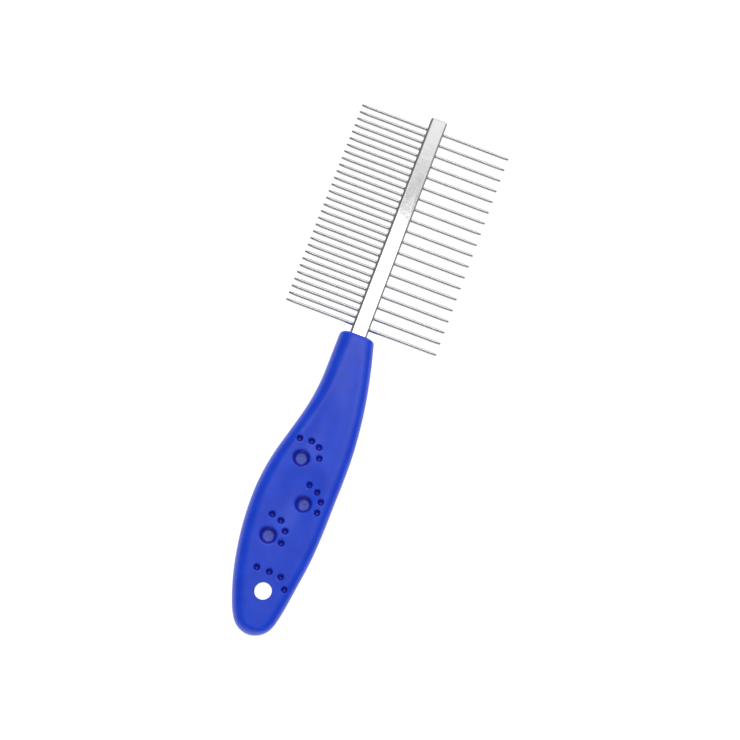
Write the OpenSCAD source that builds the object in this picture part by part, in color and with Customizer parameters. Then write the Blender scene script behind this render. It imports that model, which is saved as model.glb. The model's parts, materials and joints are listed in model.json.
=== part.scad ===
// Double-sided pet comb: straight round pins on both sides of a metal bar, and a moulded
// handle with paw-shaped recesses and a hanging hole.
//
// +Y runs to the head and +Z is up. The comb lies on the flat back of its handle, z = 0.
// The bar's centre line is x = 0, with the fine pins towards -X and the coarse pins
// towards +X. The overall length is centred on y = 0.

/* [Overall] */
// Length from the butt of the handle to the free end of the bar
total_len = 194.8; // [185:0.1:205]
// Thickness of the handle between its two flat faces
handle_t = 10; // [9:0.5:14]

/* [Spine] */
// Width of the bar, from the fine side to the coarse side
spine_w = 6.2; // [5.6:0.1:7]
// Thickness of the bar
spine_t = 5; // [4:0.5:5.5]
// Radius of the bar's four long edges
spine_edge_r = 0.7; // [0.5:0.1:1.2]
// Radius of the corners at the bar's two ends
spine_end_r = 0.8; // [0.3:0.1:1.5]
// Length of the tang that the handle is moulded over
tang_len = 34; // [24:1:36]
// Radius of the round notches that lock the tang in the handle
notch_r = 1.2; // [0.5:0.1:1.5]

/* [Pins] */
// Number of pins on the fine side
fine_count = 30; // [2:1:30]
// Number of pins on the coarse side
coarse_count = 19; // [2:1:28]
// Diameter of a pin
pin_d = 1.3; // [0.9:0.1:1.4]
// Diameter of a pin at its rounded tip
pin_tip_d = 0.8; // [0.5:0.1:0.8]
// Length of the taper towards the tip
pin_taper = 4; // [1:0.5:8]
// Free length of a pin, from the side of the bar to the tip
pin_free = 25.3; // [15:0.1:32]
// Depth of the blind hole that a pin is pressed into
pin_seat = 2.2; // [1:0.1:2.4]
// Distance from the free end of the bar to the first pin of each side
first_pin = 4.3; // [3:0.1:8]
// Distance from the handle to the last pin of each side
last_pin = 3.6; // [2:0.1:8]

/* [Handle] */
// Radius of the handle's round butt
butt_r = 7.7; // [7.2:0.1:8]
// Sideways offset of the butt from the bar's centre line
butt_x = 1; // [0.8:0.1:1.2]
// Diameter of the hanging hole
hole_d = 6; // [4:0.5:7]
// Sideways offset of the hanging hole from the bar's centre line
hole_x = 0.7; // [0:0.1:1]
// Distance from the butt to the centre of the hanging hole
hole_from_butt = 15.4; // [14:0.1:17]

/* [Paw recesses] */
// Diameter of a pad recess at the surface
pad_d = 6.2; // [5:0.1:6.4]
// Diameter of a pad recess at its floor
pad_floor_d = 4.4; // [2:0.1:4.8]
// Depth of a pad recess
pad_depth = 1.5; // [0.3:0.1:1.6]
// Diameter of a toe recess at the surface
toe_d = 2.4; // [1.6:0.1:2.6]
// Diameter of a toe recess at its floor
toe_floor_d = 1; // [0.4:0.1:1.4]
// Depth of a toe recess
toe_depth = 1.2; // [0.3:0.1:1.3]

/* [Hidden] */
$fn = 48;
eps = 0.01;

// Handle outline, from the neck to the start of the round butt. Each station has its
// distance from the butt, its left edge, its right edge and the width of its rounded side.
// A smooth curve runs through the stations.
OUTLINE = [
    [108.2, -6.35, 6.55, 3.2], [100, -6.4, 8.7, 3.4], [90, -6.55, 10.8, 3.7],
    [80, -7.95, 12.3, 4], [70, -10.5, 13.2, 4.2], [60, -13.05, 13.35, 4.4],
    [50, -14.45, 13.15, 4.4], [40, -14.5, 13, 4.4], [30, -13.55, 12.4, 4.2],
    [20, -11.65, 11, 3.8], [12, -9.3, 9.85, 3.4], [6, -6.95, 8.6, 3.2]];
SPAN_STEPS = 3;
SIDE_STEPS = 12;

// Rounded shoulder at the neck: how far it reaches along, across and through the handle
shoulder_y = 1.6;
shoulder_x = 1.6;
shoulder_z = 1.2;
SHOULDER_STEPS = 4;

// Round butt: the arc's half angle, its steps, and the half size of the flat at its tip
BUTT_ANGLE = 60;
BUTT_STEPS = 6;
butt_flat = 0.8;

// Paw prints, as [x, distance from the butt]. Each print has a pad and four toes, and the
// one next to the butt has the hanging hole for its pad.
PADS = [[-3.2, 62.1], [3, 47.5], [-4.4, 33.5]];
TOES = [
    [-6.1, 68.3], [-1.9, 68.8], [1.2, 67.6], [2.6, 64],
    [2.7, 54.4], [6, 52.9], [8.4, 50.1], [8.5, 46.3],
    [-5.6, 40.6], [-2.1, 39.6], [0.5, 36.7], [0.7, 32.4],
    [-4.1, 22.1], [0.4, 22.1], [4.6, 21.7], [7.3, 18.2]];

// Distance from the handle to each pair of notches in the tang
NOTCHES = [8, 20];

handle_len = OUTLINE[0][0] + shoulder_y;
head_y = total_len / 2;
butt_y = -total_len / 2;
mid_z = handle_t / 2;
spine_free = total_len - handle_len;
pin_span = spine_free - first_pin - last_pin;

function two_digits(n) = n < 10 ? str("0", n) : str(n);
function pin_names(prefix, count) = [for (i = [1 : count]) str(prefix, two_digits(i))];
FINE_PINS = pin_names("fine_pin_", fine_count);
COARSE_PINS = pin_names("coarse_pin_", coarse_count);

// Distance along the comb of pin i, counted from 0 at the free end of the bar
function pin_y(i, count) = head_y - first_pin - pin_span * i / (count - 1);

// Smooth curve through the stations: a point between b and c, where u runs from 0 to 1
function curve(a, b, c, d, u) =
    b + u * (c - a) / 2 + u * u * (2 * a - 5 * b + 4 * c - d) / 2
    + u * u * u * (3 * b - a - 3 * c + d) / 2;
function station(i) = OUTLINE[max(0, min(len(OUTLINE) - 1, i))];

// A ring across the handle: distance from the butt, left edge, right edge, width of the
// rounded side, and half the thickness
function butt_ring(angle) =
    let (along = butt_r * (1 - cos(angle)),
         half_w = max(butt_flat, butt_r * sin(angle)),
         side = station(len(OUTLINE))[3],
         rise = max(0, 1 - along / side))
    [along, butt_x - half_w, butt_x + half_w, min(side, 0.9 * half_w),
     max(butt_flat, mid_z * sqrt(1 - rise * rise))];
function body_ring(i, u) =
    concat(curve(station(i + 1), station(i), station(i - 1), station(i - 2), u), [mid_z]);
function shoulder_ring(angle) =
    let (neck = station(0), inset = shoulder_x * (1 - cos(angle)), width = neck[2] - neck[1])
    [neck[0] + shoulder_y * sin(angle), neck[1] + inset, neck[2] - inset,
     neck[3] * (1 - 2 * inset / width), mid_z - shoulder_z * (1 - cos(angle))];

RINGS = concat(
    [for (k = [0 : BUTT_STEPS]) butt_ring(BUTT_ANGLE * k / BUTT_STEPS)],
    [for (i = [len(OUTLINE) - 1 : -1 : 1], k = [0 : SPAN_STEPS - 1]) body_ring(i, k / SPAN_STEPS)],
    [for (k = [0 : SHOULDER_STEPS]) shoulder_ring(90 * k / SHOULDER_STEPS)]);

// Points of a ring: the right side from the back to the front, then the left side back down
function side_point(ring, edge, angle) =
    [edge + ring[3] * cos(angle), butt_y + ring[0], mid_z + ring[4] * sin(angle)];
function ring_points(ring) = concat(
    [for (j = [0 : SIDE_STEPS]) side_point(ring, ring[2] - ring[3], 180 * j / SIDE_STEPS - 90)],
    [for (j = [0 : SIDE_STEPS]) side_point(ring, ring[1] + ring[3], 180 * j / SIDE_STEPS + 90)]);

// Solid through a list of rings, closed at both ends
module loft(rings) {
    n = 2 * (SIDE_STEPS + 1);
    last = (len(rings) - 1) * n;
    polyhedron(
        points = [for (ring = rings) each ring_points(ring)],
        faces = concat(
            [[for (j = [n - 1 : -1 : 0]) j]],
            [for (i = [0 : len(rings) - 2], j = [0 : n - 1])
                let (a = i * n + j, b = i * n + (j + 1) % n) [a, b, b + n, a + n]],
            [[for (j = [0 : n - 1]) last + j]]));
}

// Rectangle with rounded corners, centred in x, from y = 0 to y = height
module rounded_rectangle(width, height, r) {
    translate([-width / 2, r]) square([width, height - 2 * r]);
    translate([r - width / 2, 0]) square([width - 2 * r, height]);
    for (x = [r - width / 2, width / 2 - r], y = [r, height - r])
        translate([x, y]) circle(r);
}

// Bar and tang in one, before the pin holes are drilled
module spine_blank() {
    bar_len = spine_free + tang_len;
    tail_y = head_y - bar_len;
    difference() {
        intersection() {
            translate([0, head_y, mid_z - spine_t / 2])
                rotate([90, 0, 0])
                    linear_extrude(bar_len) rounded_rectangle(spine_w, spine_t, spine_edge_r);
            translate([0, tail_y, mid_z - spine_t])
                linear_extrude(2 * spine_t) rounded_rectangle(spine_w, bar_len, spine_end_r);
        }
        for (side = [-1, 1], from_neck = NOTCHES)
            translate([side * spine_w / 2, butt_y + handle_len - from_neck, 0])
                cylinder(h = handle_t, r = notch_r);
    }
}

// Pin along +X, from the bottom of its blind hole to its round tip
module pin() {
    tip_r = pin_tip_d / 2;
    straight = pin_seat + pin_free - pin_taper - tip_r;
    translate([spine_w / 2 - pin_seat, 0, mid_z])
        rotate([0, 90, 0]) {
            cylinder(h = straight, d = pin_d);
            translate([0, 0, straight]) cylinder(h = pin_taper, d1 = pin_d, d2 = pin_tip_d);
            translate([0, 0, straight + pin_taper]) sphere(tip_r);
        }
}

// Round recess in the front face, narrower at its floor
module recess(place, d, floor_d, depth) {
    translate([place[0], butt_y + place[1], handle_t - depth])
        cylinder(h = depth + eps, d1 = floor_d, d2 = d);
}

module paw_prints() {
    for (place = PADS) recess(place, pad_d, pad_floor_d, pad_depth);
    for (place = TOES) recess(place, toe_d, toe_floor_d, toe_depth);
}

module handle() {
    color("#2d47c4")
        difference() {
            loft(RINGS);
            spine_blank();
            translate([hole_x, butt_y + hole_from_butt, -eps])
                cylinder(h = handle_t + 2 * eps, d = hole_d);
            paw_prints();
            // The back carries the same prints, because the comb is turned over in use
            translate([0, 0, handle_t]) mirror([0, 0, 1]) paw_prints();
        }
}

module spine() {
    color("#d9dadc")
        difference() {
            spine_blank();
            for (i = [0 : fine_count - 1])
                translate([pin_seat - spine_w / 2, pin_y(i, fine_count), mid_z])
                    rotate([0, -90, 0]) cylinder(h = pin_seat + eps, d = pin_d);
            for (i = [0 : coarse_count - 1])
                translate([spine_w / 2 - pin_seat, pin_y(i, coarse_count), mid_z])
                    rotate([0, 90, 0]) cylinder(h = pin_seat + eps, d = pin_d);
        }
}

module fine_pin(i) {
    color("#b9bcc0") translate([0, pin_y(i, fine_count), 0]) mirror([1, 0, 0]) pin();
}

module coarse_pin(i) {
    color("#b9bcc0") translate([0, pin_y(i, coarse_count), 0]) pin();
}

handle();
spine();
for (i = [0 : fine_count - 1])
    fine_pin(i);
for (i = [0 : coarse_count - 1])
    coarse_pin(i);
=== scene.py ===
# %% [markdown]
# # A double-sided pet comb
# The comb is an aluminium bar with steel pins pressed into both sides and a moulded plastic
# handle. Its sizes were settled in CAD, so the lesson starts by loading that model and
# measuring it. Every piece made here sits exactly where the measured one is.

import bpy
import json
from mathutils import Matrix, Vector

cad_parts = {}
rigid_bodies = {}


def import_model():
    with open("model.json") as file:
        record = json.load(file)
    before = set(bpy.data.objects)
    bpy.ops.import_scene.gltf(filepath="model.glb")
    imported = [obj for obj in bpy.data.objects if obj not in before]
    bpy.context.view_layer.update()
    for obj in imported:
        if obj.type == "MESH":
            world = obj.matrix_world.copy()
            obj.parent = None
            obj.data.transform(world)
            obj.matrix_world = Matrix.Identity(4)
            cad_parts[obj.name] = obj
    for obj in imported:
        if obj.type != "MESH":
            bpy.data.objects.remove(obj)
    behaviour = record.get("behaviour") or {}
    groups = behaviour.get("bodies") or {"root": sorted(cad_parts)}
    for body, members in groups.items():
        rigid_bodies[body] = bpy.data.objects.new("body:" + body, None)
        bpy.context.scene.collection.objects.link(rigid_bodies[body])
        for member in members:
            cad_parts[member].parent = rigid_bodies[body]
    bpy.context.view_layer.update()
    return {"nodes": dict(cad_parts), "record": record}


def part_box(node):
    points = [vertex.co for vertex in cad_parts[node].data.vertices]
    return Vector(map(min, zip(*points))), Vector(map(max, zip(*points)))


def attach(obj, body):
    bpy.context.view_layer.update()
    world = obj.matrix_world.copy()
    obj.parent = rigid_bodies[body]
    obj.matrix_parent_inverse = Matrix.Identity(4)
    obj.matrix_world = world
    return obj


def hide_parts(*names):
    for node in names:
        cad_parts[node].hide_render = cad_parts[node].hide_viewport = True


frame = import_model()

# %% Set the units
import json
import math
import bmesh
import bpy
from mathutils import Matrix, Vector

MM = 0.001


def head_pins(side):
    """Names of one row of pins, from the head end to the handle."""
    return sorted(name for name in frame["nodes"] if name.startswith(side + "_pin_"))


fine_names, coarse_names = head_pins("fine"), head_pins("coarse")
print(len(fine_names), "fine pins and", len(coarse_names), "coarse pins")

# %% [markdown]
# ## Camera
# The comb lies on its back and the camera hangs half a metre above it, looking almost
# straight down and turned so that the comb's head points up to the right. A long lens keeps
# the two rows of pins nearly parallel.

# %% Hang the camera over the comb
camera_data = bpy.data.cameras.new("overhead_camera")
camera_data.lens = 70.5
camera_data.sensor_width = 36
camera = bpy.data.objects.new("overhead_camera", camera_data)
camera.location = Vector((9.45, -91.19, 505)) * MM
camera.rotation_euler = [math.radians(a) for a in (10.01, -3.6, 20.32)]
bpy.context.scene.collection.objects.link(camera)
bpy.context.scene.camera = camera
print("camera height above the table:", round(camera.location.z, 3), "m")

# %% [markdown]
# ## Small helpers
# Three jobs come back all the time: emptying the selection before an operator runs, turning
# a paint colour into the linear numbers that Blender mixes with, and adding a shader node
# with its settings and links in one go.


# %% Selection, colour and shader node helpers
def only(*pieces):
    """Leaves only these objects selected, the first one active, in object mode."""
    if bpy.context.object and bpy.context.object.mode != "OBJECT":
        bpy.ops.object.mode_set(mode="OBJECT")
    bpy.ops.object.select_all(action="DESELECT")
    for piece in pieces:
        piece.select_set(True)
    bpy.context.view_layer.objects.active = pieces[0] if pieces else None


def linear(hex_colour):
    """An sRGB colour such as "2D47C4" as linear red, green, blue and alpha."""
    channels = [int(hex_colour[i:i + 2], 16) / 255 for i in (0, 2, 4)]
    return [c / 12.92 if c <= 0.04045 else ((c + 0.055) / 1.055) ** 2.4 for c in channels] + [1]


def add_node(tree, kind, settings=None, inputs=None):
    """Adds one shader node. An input is a value, or a (node, output name) pair to link."""
    node = tree.nodes.new(kind)
    for name, value in (settings or {}).items():
        setattr(node, name, value)
    for name, value in (inputs or {}).items():
        if isinstance(value, tuple) and isinstance(value[0], bpy.types.Node):
            tree.links.new(value[0].outputs[value[1]], node.inputs[name])
        else:
            node.inputs[name].default_value = value
    return node


def new_material(name):
    """An empty node material and its output node."""
    material = bpy.data.materials.new(name)
    material.use_nodes = True
    tree = material.node_tree
    tree.nodes.clear()
    return material, tree, tree.nodes.new("ShaderNodeOutputMaterial")


# %% [markdown]
# ## Table and light
# The comb lies on a lit white table, the kind that product pictures are taken on. The table
# glows, so it swallows shadows and sends light up round the edges. Polished metal shows its
# shape by what it mirrors, so the room is arranged for the metal: a soft box and a white
# wall beyond the head, and a dark ceiling over the camera, which draws the thin dark line
# along every pin and down both edges of the bar. Dark curtains stand at the two sides, and
# they keep the handle's rounded sides a deep blue. A large fill light that leaves no
# reflection brings out the colour of the plastic.

# %% Lit white table
TABLE_SIZE = 30
TABLE_GAP = 0.05 * MM
only()
bpy.ops.mesh.primitive_plane_add(size=TABLE_SIZE)
table = bpy.context.object
table.name = "lit_table"
table.location.z = -TABLE_GAP
white_glow, tree, out = new_material("opal_acrylic_table_lit_from_below")
opal = add_node(tree, "ShaderNodeBsdfPrincipled", inputs={
    "Base Color": linear("808080"), "Roughness": 0.6,
    "Emission Color": linear("FFFFFF"), "Emission Strength": 1.0})
tree.links.new(opal.outputs["BSDF"], out.inputs["Surface"])
table.data.materials.append(white_glow)
print("table at z =", table.location.z)

# %% The room as brightness by direction
ROOM_GLOW = 0.13
world = bpy.data.worlds.new("studio")
bpy.context.scene.world = world
world.use_nodes = True
tree = world.node_tree
tree.nodes.clear()
direction = add_node(tree, "ShaderNodeTexCoord")


def towards(x, y, z, start, end, near, far):
    """Brightness near within start degrees of the direction x, y, z, and far beyond end."""
    aim = Vector((x, y, z)).normalized()
    nearness = add_node(tree, "ShaderNodeVectorMath", {"operation": "DOT_PRODUCT"}, {
        0: (direction, "Generated"), 1: aim})
    return add_node(tree, "ShaderNodeMapRange", {"interpolation_type": "SMOOTHSTEP"}, {
        "Value": (nearness, "Value"),
        "From Min": math.cos(math.radians(end)), "From Max": math.cos(math.radians(start)),
        "To Min": far, "To Max": near})


sideways = add_node(tree, "ShaderNodeSeparateXYZ", inputs={"Vector": (direction, "Generated")})


def fades(start, end, before, after):
    """Brightness that goes from before to after as the direction's X goes from start to end."""
    return add_node(tree, "ShaderNodeMapRange", {"interpolation_type": "SMOOTHSTEP"}, {
        "Value": (sideways, "X"), "From Min": start, "From Max": end,
        "To Min": before, "To Max": after})


def joined(operation, *parts):
    """Combines brightnesses, each given as a node whose first output is the value."""
    total = parts[0]
    for part in parts[1:]:
        total = add_node(tree, "ShaderNodeMath", {"operation": operation}, {
            0: (total, 0), 1: (part, 0)})
    return total


# %% Dark ceiling, pale walls and curtains
# Z is up, and Y points to the wall beyond the comb's head. The sides fade out at the curtains.
# The bar's head half mirrors a panel high over the head, which is white and then grey.
white_then_grey = joined(
    "ADD", towards(0, 1, 0, 72.5, 77, 0.43, 0), towards(0, 1, 0, 70.2, 72.5, 0.62, 0))
wall_panel = joined(
    "MULTIPLY", fades(-0.2, -0.1, 0, 1), fades(0.2, 0.34, 1, 0), white_then_grey)
ceiling_and_walls = joined(
    "MULTIPLY", towards(0, -0.12, 1, 42, 70, 0.1, 1), fades(-0.65, -0.35, 0.15, 1),
    fades(0.35, 0.65, 1, 0.15))
far_wall = joined(
    "MULTIPLY", towards(0, 1, 0, 58, 66, 1.05, 0), fades(-0.6, -0.4, 0, 1), fades(0.4, 0.6, 1, 0))
# Two soft glows: one straight above the comb, and one high on the side of the coarse pins
lamp_glow = towards(0, 0.05, 1, 3, 12, 0.55, 0)
side_glow = towards(0.5, 0.32, 0.81, 9, 20, 0.8, 0)
brightest = joined("MAXIMUM", ceiling_and_walls, far_wall, wall_panel, lamp_glow, side_glow)
bright = add_node(tree, "ShaderNodeMath", {"operation": "MAXIMUM"}, {
    0: (brightest, 0), 1: ROOM_GLOW})
dome = add_node(tree, "ShaderNodeBackground", inputs={
    "Color": linear("FFFFFF"), "Strength": (bright, "Value")})
out = add_node(tree, "ShaderNodeOutputWorld", inputs={"Surface": (dome, "Background")})
bpy.context.scene.view_settings.view_transform = "Standard"
print("room drawn with", len(tree.nodes), "nodes, never darker than", ROOM_GLOW)


# %% Soft boxes
def soft_box(name, place, aim, width, depth, watts):
    """A rectangular area light at place that faces aim. Every length is in metres."""
    light = bpy.data.lights.new(name, "AREA")
    light.shape = "RECTANGLE"
    light.size, light.size_y = width, depth
    light.energy = watts
    lamp = bpy.data.objects.new(name, light)
    lamp.location = place
    lamp.rotation_euler = (Vector(aim) - Vector(place)).to_track_quat("-Z", "Y").to_euler()
    bpy.context.scene.collection.objects.link(lamp)
    return lamp


# The half of the bar next to the handle mirrors the first box, so it looks white
soft_box("head_soft_box", (0.0, 0.233, 0.9), (0.0, 0.233, 0), 0.42, 0.16, 0.7)
fill = soft_box("overhead_fill", (0.0, 0.1, 1.2), (0.0, 0.0, 0), 1.2, 1.2, 4.4)
fill.visible_glossy = False

# %% [markdown]
# ## Turned shapes
# The pins and the round tools that press the paw prints are all turned shapes: one outline
# spun about an axis. The outline starts as a plane merged to a single point, which is then
# extruded from corner to corner, just as it would be drawn by hand.


# %% Draw an outline and spin it
# Points nearer to each other than this count as one
HAIR = 0.002 * MM


def arc(centre, radius, start, end, steps):
    """Points along an arc, as (out, along) pairs. Angles are in degrees."""
    angles = [math.radians(start + (end - start) * k / steps) for k in range(steps + 1)]
    return [(centre[0] + radius * math.cos(a), centre[1] + radius * math.sin(a)) for a in angles]


def lathe(name, outline, steps):
    """Spins an outline of (distance from the axis, height) pairs, in mm, about the Z axis."""
    only()
    points = [Vector((out, 0, up)) * MM for out, up in outline]
    bpy.ops.mesh.primitive_plane_add(size=MM)
    piece = bpy.context.object
    piece.name = piece.data.name = name
    bpy.ops.object.mode_set(mode="EDIT")
    bpy.ops.mesh.select_mode(type="VERT")
    bpy.ops.mesh.merge(type="CENTER")
    bpy.ops.transform.translate(value=points[0])
    for here, there in zip(points, points[1:]):
        bpy.ops.mesh.extrude_vertices_move(TRANSFORM_OT_translate={"value": there - here})
    bpy.ops.mesh.select_all(action="SELECT")
    bpy.ops.mesh.spin(steps=steps, angle=math.tau, center=(0, 0, 0), axis=(0, 0, 1))
    bpy.ops.mesh.select_all(action="SELECT")
    bpy.ops.mesh.remove_doubles(threshold=HAIR)
    bpy.ops.mesh.normals_make_consistent(inside=False)
    bpy.ops.object.mode_set(mode="OBJECT")
    print(name, "has", len(piece.data.polygons), "faces")
    return piece


def copy_at(piece, name, place):
    """A copy of a piece with a mesh of its own, with the place worked into the mesh."""
    twin = piece.copy()
    twin.data = piece.data.copy()
    twin.name = twin.data.name = name
    twin.data.transform(place)
    bpy.context.scene.collection.objects.link(twin)
    return twin


# %% [markdown]
# ## Handle
# The real handle is one piece of plastic, moulded round the bar's tang. Its front and back
# are shallow dishes between two soft ridges, and its sides are round. The outline is read
# off the measured handle as a list of stations. At each one, a rectangle with rounded
# corners is drawn across the handle, and neighbouring rectangles are bridged.

# %% Read the handle's outline
handle_low, handle_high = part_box("handle")
mid_z = (handle_low.z + handle_high.z) / 2
spots = [vertex.co.copy() for vertex in frame["nodes"]["handle"].data.vertices]
widest = [p for p in spots if abs(p.z - mid_z) < HAIR]


def station(y):
    """Left edge, right edge and half thickness of the measured handle at y."""
    edges = [p.x for p in widest if abs(p.y - y) < HAIR]
    return min(edges), max(edges), max(p.z for p in spots if abs(p.y - y) < HAIR) - mid_z


stations = [(y, *station(y)) for y in sorted({round(p.y, 6) for p in widest})]
stations = [s for s, after in zip(stations, stations[1:] + [None])
            if not after or after[0] - s[0] > HAIR]
print(len(stations), "stations from y =", stations[0][0], "to", stations[-1][0])

# %% Draw the rings and bridge them
LEFT_SIDE, RIGHT_SIDE = 4.6 * MM, 3.6 * MM
# A rounded side takes at most this share of the width, and of half the thickness
WIDTH_SHARE, HALF_SHARE = 0.42, 0.94
SIDE_STEPS = 5
PANEL_CUTS = 5


def select_by(mesh_edit, test):
    """Selects the edges whose two ends pass the test, and nothing else."""
    for vertex in mesh_edit.verts:
        vertex.select = test(vertex.co)
    mesh_edit.select_mode = {"VERT"}
    mesh_edit.select_flush_mode()


def at(y):
    """A test for points at y along the handle."""
    return lambda co: abs(co.y - y) < HAIR


def draw_ring(piece, y, left, right, half):
    """Adds a closed ring across the handle, with extra points along its front and back."""
    centre = Vector(((left + right) / 2, y, mid_z))
    bpy.ops.mesh.select_all(action="DESELECT")
    bpy.ops.mesh.primitive_plane_add(size=1, location=centre, rotation=(math.pi / 2, 0, 0))
    bpy.ops.transform.resize(value=(right - left, 1, 2 * half), center_override=centre)
    bpy.ops.mesh.delete(type="ONLY_FACE")
    for side, reach in ((-1, LEFT_SIDE), (1, RIGHT_SIDE)):
        mesh_edit = bmesh.from_edit_mesh(piece.data)
        select_by(mesh_edit, lambda co: at(y)(co) and side * (co.x - centre.x) > 0)
        corner = min(reach, WIDTH_SHARE * (right - left), HALF_SHARE * half)
        bpy.ops.mesh.bevel(offset=corner, segments=SIDE_STEPS, affect="VERTICES")
    mesh_edit = bmesh.from_edit_mesh(piece.data)
    for face_z in (mid_z - half, mid_z + half):
        select_by(mesh_edit, lambda co: at(y)(co) and abs(co.z - face_z) < HAIR)
        bpy.ops.mesh.subdivide(number_cuts=PANEL_CUTS)
        mesh_edit = bmesh.from_edit_mesh(piece.data)


only()
bpy.ops.mesh.primitive_plane_add(size=MM)
grip = bpy.context.object
grip.name = grip.data.name = "moulded_handle"
bpy.ops.object.mode_set(mode="EDIT")
bpy.ops.mesh.delete(type="VERT")
for i, (y, left, right, half) in enumerate(stations):
    draw_ring(grip, y, left, right, half)
    if i > 0:
        mesh_edit = bmesh.from_edit_mesh(grip.data)
        select_by(mesh_edit, lambda co: at(y)(co) or at(stations[i - 1][0])(co))
        bpy.ops.mesh.bridge_edge_loops()
for y in (stations[0][0], stations[-1][0]):
    select_by(bmesh.from_edit_mesh(grip.data), at(y))
    bpy.ops.mesh.edge_face_add()
bpy.ops.mesh.select_all(action="SELECT")
bpy.ops.mesh.normals_make_consistent(inside=False)
bpy.ops.object.mode_set(mode="OBJECT")
print("rough handle:", len(grip.data.vertices), "points,", len(grip.data.polygons), "faces")

# %% [markdown]
# The dish is pressed into the front and the back by moving only the points between the two
# ridges, so that its surface falls away from both of them at the same angle all the way
# along. Then the rough handle is smoothed by subdivision. That draws it in by a hair, so it
# is stretched back to its measured box.

# %% Dish the front and the back
EDGE_SLOPE = math.tan(math.radians(7))
# Shares of the length between which the dish deepens, and between which it flattens again
DEEPENS, FLATTENS = (0.04, 0.2), (0.85, 0.99)
handle_length = handle_high.y - handle_low.y


def ease(value, low, high):
    """0 below low and 1 above high, with a smooth change between them."""
    t = max(0.0, min(1.0, (value - low) / (high - low)))
    return t * t * (3 - 2 * t)


for y, left, right, half in stations:
    along = (y - handle_low.y) / handle_length
    middle = (left + LEFT_SIDE + right - RIGHT_SIDE) / 2
    reach = (right - RIGHT_SIDE - left - LEFT_SIDE) / 2
    depth = EDGE_SLOPE * reach / 2 * ease(along, *DEEPENS) * (1 - ease(along, *FLATTENS))
    for vertex in grip.data.vertices:
        co = vertex.co
        on_face = abs(abs(co.z - mid_z) - half) < HAIR
        if at(y)(co) and on_face and abs(co.x - middle) < reach:
            across = (co.x - middle) / reach
            co.z -= math.copysign(depth * (1 - across * across), co.z - mid_z)
only(grip)
smoothing = grip.modifiers.new("smooth_form", "SUBSURF")
smoothing.levels = smoothing.render_levels = 2
bpy.ops.object.modifier_apply(modifier=smoothing.name)


def box_of(piece):
    """Lowest and highest corner of a piece."""
    corners = [vertex.co for vertex in piece.data.vertices]
    return (Vector([min(co[i] for co in corners) for i in range(3)]),
            Vector([max(co[i] for co in corners) for i in range(3)]))


low, high = box_of(grip)
stretch = [(handle_high[i] - handle_low[i]) / (high[i] - low[i]) for i in range(3)]
grip.data.transform(Matrix.Translation((handle_low + handle_high) / 2)
                    @ Matrix.Diagonal(stretch + [1]) @ Matrix.Translation(-(low + high) / 2))
print("smooth handle:", len(grip.data.polygons), "faces, stretched by",
      [round(k, 4) for k in stretch])

# %% [markdown]
# Thumb and finger rest in shallow hollows. Each one is an oval, given by its centre, its
# reach and its depth, and it sinks the front and the back alike.

# %% Sink the hollows
# x, distance from the butt, reach in x, reach in y, depth, all in mm
HOLLOWS = [(0.5, 50, 8, 15, 0.6), (-1, 73, 7, 15, 0.4)]
# Shares of the half thickness: the sides stay put below the first, and faces sink above both
SIDE_END, FACE_START = 0.3, 0.9
for x, from_butt, reach_x, reach_y, depth in HOLLOWS:
    centre = Vector((x * MM, handle_low.y + from_butt * MM, 0))
    for vertex in grip.data.vertices:
        co = vertex.co
        r2 = ((co.x - centre.x) / (reach_x * MM)) ** 2 + ((co.y - centre.y) / (reach_y * MM)) ** 2
        if r2 < 1:
            face = ease(abs(co.z - mid_z) / (handle_high.z - mid_z), SIDE_END, FACE_START)
            co.z -= math.copysign(depth * MM * face * (1 - r2) ** 2, co.z - mid_z)
print(len(HOLLOWS), "hollows on each face")

# %% [markdown]
# ## Paw prints
# Each print is a round pad and four round toes, pressed into the moulding, and the last one
# has the hanging hole for its pad. The tools that cut them are turned: a floor, a sloping
# wall, and a lip that opens out so that the edge of the recess is rounded. The places are
# read off the measured handle, and each tool is set square to the surface that it meets,
# with a slight lean that leaves the floor off centre.

# %% Turn the recess tools
PAD_DEPTH, TOE_DEPTH = 1.5, 1.2
LIP_END = 110  # degrees: the lip stops 20 degrees short of level, and the tool flares on
# The WALL slot holds painted shade; the FADE and FLOOR slots hold painted light over a coarser
# grain
PLASTIC, WALL, FADE, FLOOR = range(4)
# Heights, as shares of the depth, where the wall starts and where the floor can start
WALL_TOP, FLOOR_TOP = -0.2, -0.5
# How level a face is, from 0 for upright to 1, where the grain and painted light fade in and where
# they are full
FADE_LEVEL, FLOOR_LEVEL = 0.75, 0.98
plastic = bpy.data.materials.new("moulded_polypropylene_royal_blue")
wall_painted_shade = bpy.data.materials.new("moulded_polypropylene_wall_painted_shade")
fade_grain_and_painted_light = bpy.data.materials.new("moulded_polypropylene_fading_grain_and_painted_light")
floor_grain_and_painted_light = bpy.data.materials.new("moulded_polypropylene_floor_grain_and_painted_light")
for material in (plastic, wall_painted_shade, fade_grain_and_painted_light, floor_grain_and_painted_light):
    grip.data.materials.append(material)


def finish_or_painted_light_slot(height, flatness, grain_and_painted_light):
    """Slot of a tool's face, from its height as a share of the depth and how level it is."""
    # Steep faces below the lip take the painted shade of the wall, level ones the painted light of
    # the floor
    if height > WALL_TOP:
        return PLASTIC
    if not grain_and_painted_light or height > FLOOR_TOP or flatness < FADE_LEVEL:
        return WALL
    return FLOOR if flatness > FLOOR_LEVEL else FADE


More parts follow.
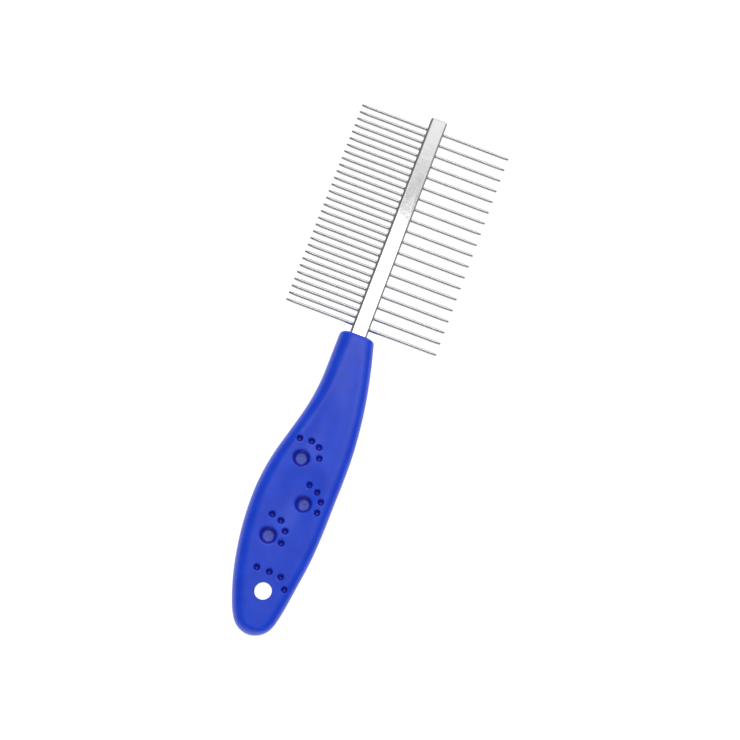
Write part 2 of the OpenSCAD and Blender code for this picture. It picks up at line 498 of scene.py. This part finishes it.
def recess_tool(name, rim_r, floor_r, depth, lip_r, root_r, steps, grain_and_painted_light):
    """A tool whose height 0 is the surface. lip_r rounds the edge and root_r the floor.

    All sizes are in mm. Above the surface the tool flares and is closed well clear of it.
    """
    slope = math.atan2(depth, rim_r - floor_r)
    turn = math.tan(slope / 2)
    degrees = math.degrees(slope)
    floor = arc((floor_r - root_r * turn, root_r - depth), root_r, -90, degrees - 90, 5)
    lip = arc((rim_r + lip_r * turn, -lip_r), lip_r, 90 + degrees, LIP_END, 5)
    out, up = lip[-1]
    outline = [(0, -depth)] + floor + lip + [(out + 0.3, up + 0.11), (out + 0.6, 0.8), (0, 0.8)]
    tool = lathe(name, outline, steps)
    for material in grip.data.materials:
        tool.data.materials.append(material)
    for face in tool.data.polygons:
        face.material_index = finish_or_painted_light_slot(face.center.z / MM / depth, -face.normal.z, grain_and_painted_light)
    return tool


pad_tool = recess_tool("pad_tool", 3.05, 1.9, PAD_DEPTH, 0.4, 0.8, 64, True)
toe_tool = recess_tool("toe_tool", 1.2, 0.5, TOE_DEPTH, 0.2, 0.4, 40, False)

# %% Find the recesses and set a tool on each
# Sideways shift for each unit of height: the cutters leaned a little
LEAN_X, LEAN_Y = -0.18, 0.12
# The outline of a recess floor has more points than this
FEWEST_POINTS = 12


def find_recesses(depth, reach):
    """Centre of each recess whose flat floor lies this deep below the front.

    Points of one floor are nearer to each other than reach. Both are in mm.
    """
    rings = []
    for p in (p for p in spots if abs(handle_high.z - depth * MM - p.z) < HAIR):
        ring = next((r for r in rings if (r[0] - p).length < reach * MM), None)
        if ring:
            ring.append(p)
        else:
            rings.append([p])
    rings = [r for r in rings if len(r) > FEWEST_POINTS]
    return [((min(p.x for p in r) + max(p.x for p in r)) / 2,
             (min(p.y for p in r) + max(p.y for p in r)) / 2) for r in rings]


def seat(x, y, side):
    """Place of a tool that stands square on the front (side 1) or the back (side -1)."""
    start = Vector((x, y, mid_z + side * 2 * (handle_high.z - mid_z)))
    _, place, normal, _ = grip.ray_cast(start, Vector((0, 0, -side)))
    upright = normal.to_track_quat("Z", "Y").to_matrix().to_4x4()
    leaning = Matrix.Identity(4)
    leaning[0][2], leaning[1][2] = LEAN_X * side, LEAN_Y * side
    return Matrix.Translation(place) @ leaning @ upright


pads, toes = find_recesses(PAD_DEPTH, 5), find_recesses(TOE_DEPTH, 1.5)
cutters = [copy_at(tool, "cut", seat(x, y, side))
           for tool, places in ((pad_tool, pads), (toe_tool, toes))
           for x, y in places for side in (1, -1)]
print(len(pads), "pads and", len(toes), "toes on each face")

# %% [markdown]
# ## Hanging hole
# The hole goes right through, with a small rounding at both rims. Its place and radius are
# those of the comb's hanging mount. All the tools are joined and cut out in one go.

# %% Turn the hole's tool and join it to the others
hanging = next(m for m in frame["record"]["mounts"] if m["name"] == "hanging_hole")
hole_r = hanging["dims"]["r_mm"]
HOLE_LIP = 0.4
half_mm = (handle_high.z - mid_z) / MM
upper = arc((hole_r + HOLE_LIP, half_mm - HOLE_LIP), HOLE_LIP, 180, LIP_END, 5)
upper = upper + [(upper[-1][0] + 0.3, half_mm + 0.1), (upper[-1][0] + 0.6, half_mm + 1)]
lower = [(out, -up) for out, up in upper]
outline = [(0, half_mm + 1)] + upper[::-1] + lower + [(0, -half_mm - 1)]
hole_tool = lathe("hole_tool", outline, 64)
hole_place = Vector((hanging["pos_m"][0], hanging["pos_m"][1], mid_z))
cutters.append(copy_at(hole_tool, "cut", Matrix.Translation(hole_place)))
only(*cutters)
bpy.ops.object.join()
cutter = bpy.context.object
print(len(cutters), "tools joined to one")

# %% Cut the recesses and the hole
only(grip)
cut = grip.modifiers.new("recesses", "BOOLEAN")
cut.operation, cut.solver, cut.object = "DIFFERENCE", "EXACT", cutter
cut.material_mode = "TRANSFER"
bpy.ops.object.modifier_apply(modifier=cut.name)
for tool in (cutter, pad_tool, toe_tool, hole_tool):
    bpy.data.objects.remove(tool)
only(grip)
bpy.ops.object.shade_smooth_by_angle(angle=math.radians(38))
print("handle with its recesses:", len(grip.data.polygons), "faces")
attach(grip, "root")
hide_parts("handle")

# %% [markdown]
# ## Spine
# The spine is a length of drawn rectangular bar. A cube is sized to the measured bar, its
# four long edges are rounded as the drawing die leaves them, and the free end is dressed
# with a small rounding.

# %% Draw the bar
bar_low, bar_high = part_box("spine")
LONG_EDGE_R, END_EDGE_R = 0.8 * MM, 0.7 * MM
only()
bpy.ops.mesh.primitive_cube_add(size=1, location=(bar_low + bar_high) / 2)
bar = bpy.context.object
bar.name = bar.data.name = "drawn_bar"
bpy.ops.transform.resize(value=bar_high - bar_low)
bpy.ops.object.transform_apply(location=True, rotation=True, scale=True)
bpy.ops.object.mode_set(mode="EDIT")
mesh_edit = bmesh.from_edit_mesh(bar.data)
bpy.ops.mesh.select_mode(type="EDGE")
bpy.ops.mesh.select_all(action="DESELECT")
for edge in mesh_edit.edges:
    edge.select = abs(edge.verts[0].co.y - edge.verts[1].co.y) > HAIR
bmesh.update_edit_mesh(bar.data)
bpy.ops.mesh.bevel(offset=LONG_EDGE_R, segments=8, affect="EDGES")
mesh_edit = bmesh.from_edit_mesh(bar.data)
for edge in mesh_edit.edges:
    edge.select = all(bar_high.y - v.co.y < HAIR for v in edge.verts)
bmesh.update_edit_mesh(bar.data)
bpy.ops.mesh.bevel(offset=END_EDGE_R, segments=5, affect="EDGES")
bpy.ops.mesh.select_all(action="SELECT")
bpy.ops.mesh.remove_doubles(threshold=HAIR)
bpy.ops.object.mode_set(mode="OBJECT")


def flatten_shading(piece):
    """Lets large faces shade flat, so that only the rounded edges between them look round."""
    only(piece)
    bpy.ops.object.shade_smooth_by_angle(angle=math.radians(50))
    weighting = piece.modifiers.new("flat_faces", "WEIGHTED_NORMAL")
    weighting.weight, weighting.keep_sharp = 100, True
    bpy.ops.object.modifier_apply(modifier=weighting.name)


flatten_shading(bar)
print("bar:", len(bar.data.polygons), "faces")
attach(bar, "root")
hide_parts("spine")

# %% [markdown]
# ## Pins
# Every pin is the same piece of steel wire, ground to a round tip and pressed into the bar.
# Pressing squeezes up a small collar of metal round its root. One pin is turned and copied
# to the place of each measured pin.

# %% Turn one pin
pin_low, pin_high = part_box(coarse_names[0])
wire_r = (pin_high.z - pin_low.z) / 2 / MM
bar_side = bar_high.x / MM
root, tip = pin_low.x / MM, pin_high.x / MM
TIP_R, TAPER, COLLAR_R, COLLAR_LENGTH = 0.5, 2.5, 0.75, 0.4
pressed_in = [(0, root), (wire_r, root), (wire_r, bar_side - 0.05)]
collar = [(COLLAR_R, bar_side), (COLLAR_R - 0.04, bar_side + 0.18),
          (wire_r + 0.05, bar_side + 0.75 * COLLAR_LENGTH), (wire_r, bar_side + COLLAR_LENGTH)]
# Half way along, the taper still has 0.6 of its thickness to lose, so it looks ground, not cut
taper = [(wire_r, tip - TIP_R - TAPER),
         (TIP_R + 0.6 * (wire_r - TIP_R), tip - TIP_R - 0.5 * TAPER)]
outline = pressed_in + collar + taper + arc((0, tip - TIP_R), TIP_R, 0, 90, 4)
pattern_pin = lathe("pattern_pin", outline, 20)
flatten_shading(pattern_pin)

# %% Copy the pin to every hole
for name in fine_names + coarse_names:
    low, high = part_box(name)
    turn = Matrix.Rotation(math.radians(90 if high.x > 0 and low.x > 0 else -90), 4, "Y")
    middle = Matrix.Translation((0, (low.y + high.y) / 2, (low.z + high.z) / 2))
    pin = copy_at(pattern_pin, name.replace("pin", "wire_pin"), middle @ turn)
    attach(pin, "root")
    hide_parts(name)
bpy.data.objects.remove(pattern_pin)
pins = [o for o in bpy.data.objects if "wire_pin" in o.name]
print(len(pins), "pins, each with a mesh of its own")

# %% [markdown]
# ## Moulded plastic
# The handle is polypropylene, coloured right through in royal blue and moulded in a finely
# blasted steel mould. The blasting leaves a satin skin: tiny hills that spread the
# highlights. Real ones are about 0.1 mm apart, too fine to show, so they are drawn 0.5 mm
# apart. The colour wanders a little where the hot plastic flowed.
# The recesses carry painted shade and painted light in their colour. Their steep walls are
# painted a darker navy: painted shade, where less light reaches inside. The pads' level floors
# have a coarser, rougher grain and are painted a lighter, greyer blue: painted light, where they
# face the light. That painted light fades out where the floor turns up into the wall.


# %% Handle plastic, with painted shade and painted light in the recesses
def mm_scale(size):
    """Noise scale for features of this size in mm, on coordinates in metres."""
    return 1 / (size * MM)


def moulded(material, light, dark, roughness, grain_mm, grain_depth, cloud_mm):
    """Plastic with a colour that wanders from light to dark and a moulded grain."""
    material.use_nodes = True
    tree = material.node_tree
    tree.nodes.clear()
    place = add_node(tree, "ShaderNodeTexCoord")
    flow = add_node(tree, "ShaderNodeTexNoise", inputs={
        "Vector": (place, "Object"), "Scale": mm_scale(cloud_mm), "Detail": 4, "Roughness": 0.6})
    tone = add_node(tree, "ShaderNodeMapRange", inputs={
        "Value": (flow, "Fac"), "From Min": 0.3, "From Max": 0.7})
    colour = add_node(tree, "ShaderNodeMix", {"data_type": "RGBA"}, {
        "Factor": (tone, "Result"), "A": linear(dark), "B": linear(light)})
    grain = add_node(tree, "ShaderNodeTexNoise", inputs={
        "Vector": (place, "Object"), "Scale": mm_scale(grain_mm), "Detail": 2})
    gloss = add_node(tree, "ShaderNodeMapRange", inputs={
        "Value": (flow, "Fac"), "From Min": 0.3, "From Max": 0.7,
        "To Min": roughness * 0.92, "To Max": roughness * 1.08})
    bump = add_node(tree, "ShaderNodeBump", inputs={
        "Height": (grain, "Fac"), "Distance": grain_depth * MM, "Strength": 1})
    skin = add_node(tree, "ShaderNodeBsdfPrincipled", inputs={
        "Base Color": (colour, "Result"), "Roughness": (gloss, "Result"), "IOR": 1.49,
        "Normal": (bump, "Normal")})
    out = add_node(tree, "ShaderNodeOutputMaterial", inputs={"Surface": (skin, "BSDF")})
    print(material.name, "with a grain of", grain_mm, "mm")


moulded(plastic, light="1A51F7", dark="1445E2", roughness=0.32,
        grain_mm=0.5, grain_depth=0.012, cloud_mm=9)
# A darker navy: painted shade for the recess walls, where less light reaches
moulded(wall_painted_shade, light="282EC0", dark="1C20A4", roughness=0.35,
        grain_mm=0.5, grain_depth=0.012, cloud_mm=3)
# Lighter, greyer blues: painted light for the level floors, over a coarser, rougher grain
moulded(fade_grain_and_painted_light, light="4856D0", dark="2E3AB4", roughness=0.45,
        grain_mm=0.35, grain_depth=0.03, cloud_mm=1)
moulded(floor_grain_and_painted_light, light="6C7EE6", dark="4656C4", roughness=0.6,
        grain_mm=0.35, grain_depth=0.06, cloud_mm=1)

# %% [markdown]
# ## Bar metal
# The bar is drawn aluminium. Its two broad faces were polished on a wheel that ran
# lengthwise, which leaves fine streaks and a faint waviness. Real streaks are thinner than a
# hair, so they are drawn wider to show. The narrow sides and the end are duller, and a darker
# grey is painted along both sides and round the end: painted shade, where the rounded edges
# turn from the light. The painted shade is shifted so that it is wider on the fine side.

# %% Polished faces, and dull sides with painted shade
alloy, tree, out = new_material("drawn_aluminium_polished_faces_painted_edge_shade")
place = add_node(tree, "ShaderNodeTexCoord")
across = add_node(tree, "ShaderNodeSeparateXYZ", inputs={"Vector": (place, "Object")})
# The painted edge shade is shifted 0.3 mm, so it is wider on the fine side
shifted_for_painted_shade = add_node(tree, "ShaderNodeMath", {"operation": "SUBTRACT"}, {
    0: (across, "X"), 1: 0.3 * MM})
from_centre = add_node(tree, "ShaderNodeMath", {"operation": "ABSOLUTE"}, {
    0: (shifted_for_painted_shade, "Value")})
side_painted_shade = add_node(tree, "ShaderNodeMapRange", {"interpolation_type": "SMOOTHSTEP"}, {
    "Value": (from_centre, "Value"), "From Min": bar_high.x - 0.85 * MM,
    "From Max": bar_high.x - 0.4 * MM})
end_painted_shade = add_node(tree, "ShaderNodeMapRange", {"interpolation_type": "SMOOTHSTEP"}, {
    "Value": (across, "Y"), "From Min": bar_high.y - 0.6 * MM, "From Max": bar_high.y - 0.25 * MM})
edge_painted_shade_and_dullness = add_node(tree, "ShaderNodeMath", {"operation": "MAXIMUM"}, {
    0: (side_painted_shade, "Result"), 1: (end_painted_shade, "Result")})
# Darker grey along the sides and round the end: painted shade
colour = add_node(tree, "ShaderNodeMix", {"data_type": "RGBA"}, {
    "Factor": (edge_painted_shade_and_dullness, "Value"), "A": linear("EBEBEC"), "B": linear("B0B1B4")})
lengthwise = add_node(tree, "ShaderNodeMapping", inputs={
    "Vector": (place, "Object"), "Scale": (1, 0.03, 1)})
streaks = add_node(tree, "ShaderNodeTexNoise", inputs={
    "Vector": (lengthwise, "Vector"), "Scale": mm_scale(0.3), "Detail": 3})
polish = add_node(tree, "ShaderNodeMapRange", inputs={
    "Value": (streaks, "Fac"), "From Min": 0.3, "From Max": 0.7, "To Min": 0.08, "To Max": 0.14})
waves = add_node(tree, "ShaderNodeTexNoise", inputs={
    "Vector": (place, "Object"), "Scale": mm_scale(3), "Detail": 2})
bump = add_node(tree, "ShaderNodeBump", inputs={
    "Height": (waves, "Fac"), "Distance": 0.015 * MM, "Strength": 1})
dullness = add_node(tree, "ShaderNodeMix", inputs={
    "Factor": (edge_painted_shade_and_dullness, "Value"), "A": (polish, "Result"), "B": 0.4})
shine = add_node(tree, "ShaderNodeBsdfPrincipled", inputs={
    "Base Color": (colour, "Result"), "Metallic": 1, "Roughness": (dullness, "Result"),
    "Normal": (bump, "Normal")})
tree.links.new(shine.outputs["BSDF"], out.inputs["Surface"])
bar.data.materials.append(alloy)
print("streaks 0.3 mm wide and 10 mm long, waves 3 mm long")

# %% [markdown]
# ## Pin steel
# The pins are bright drawn stainless wire. Drawing and barrel polishing leave them smooth
# but not mirror-like, with duller and brighter patches a few millimetres long.

# %% Bright wire
steel, tree, out = new_material("drawn_stainless_wire")
place = add_node(tree, "ShaderNodeTexCoord")
patches = add_node(tree, "ShaderNodeTexNoise", inputs={
    "Vector": (place, "Object"), "Scale": mm_scale(2.5), "Detail": 3})
wear = add_node(tree, "ShaderNodeMapRange", inputs={
    "Value": (patches, "Fac"), "From Min": 0.3, "From Max": 0.7, "To Min": 0.11, "To Max": 0.2})
tone = add_node(tree, "ShaderNodeMix", {"data_type": "RGBA"}, {
    "Factor": (patches, "Fac"), "A": linear("C9CACC"), "B": linear("D6D7D8")})
shine = add_node(tree, "ShaderNodeBsdfPrincipled", inputs={
    "Base Color": (tone, "Result"), "Metallic": 1, "Roughness": (wear, "Result")})
tree.links.new(shine.outputs["BSDF"], out.inputs["Surface"])
for pin in pins:
    pin.data.materials.append(steel)
print("wire finish on", len(pins), "pins")
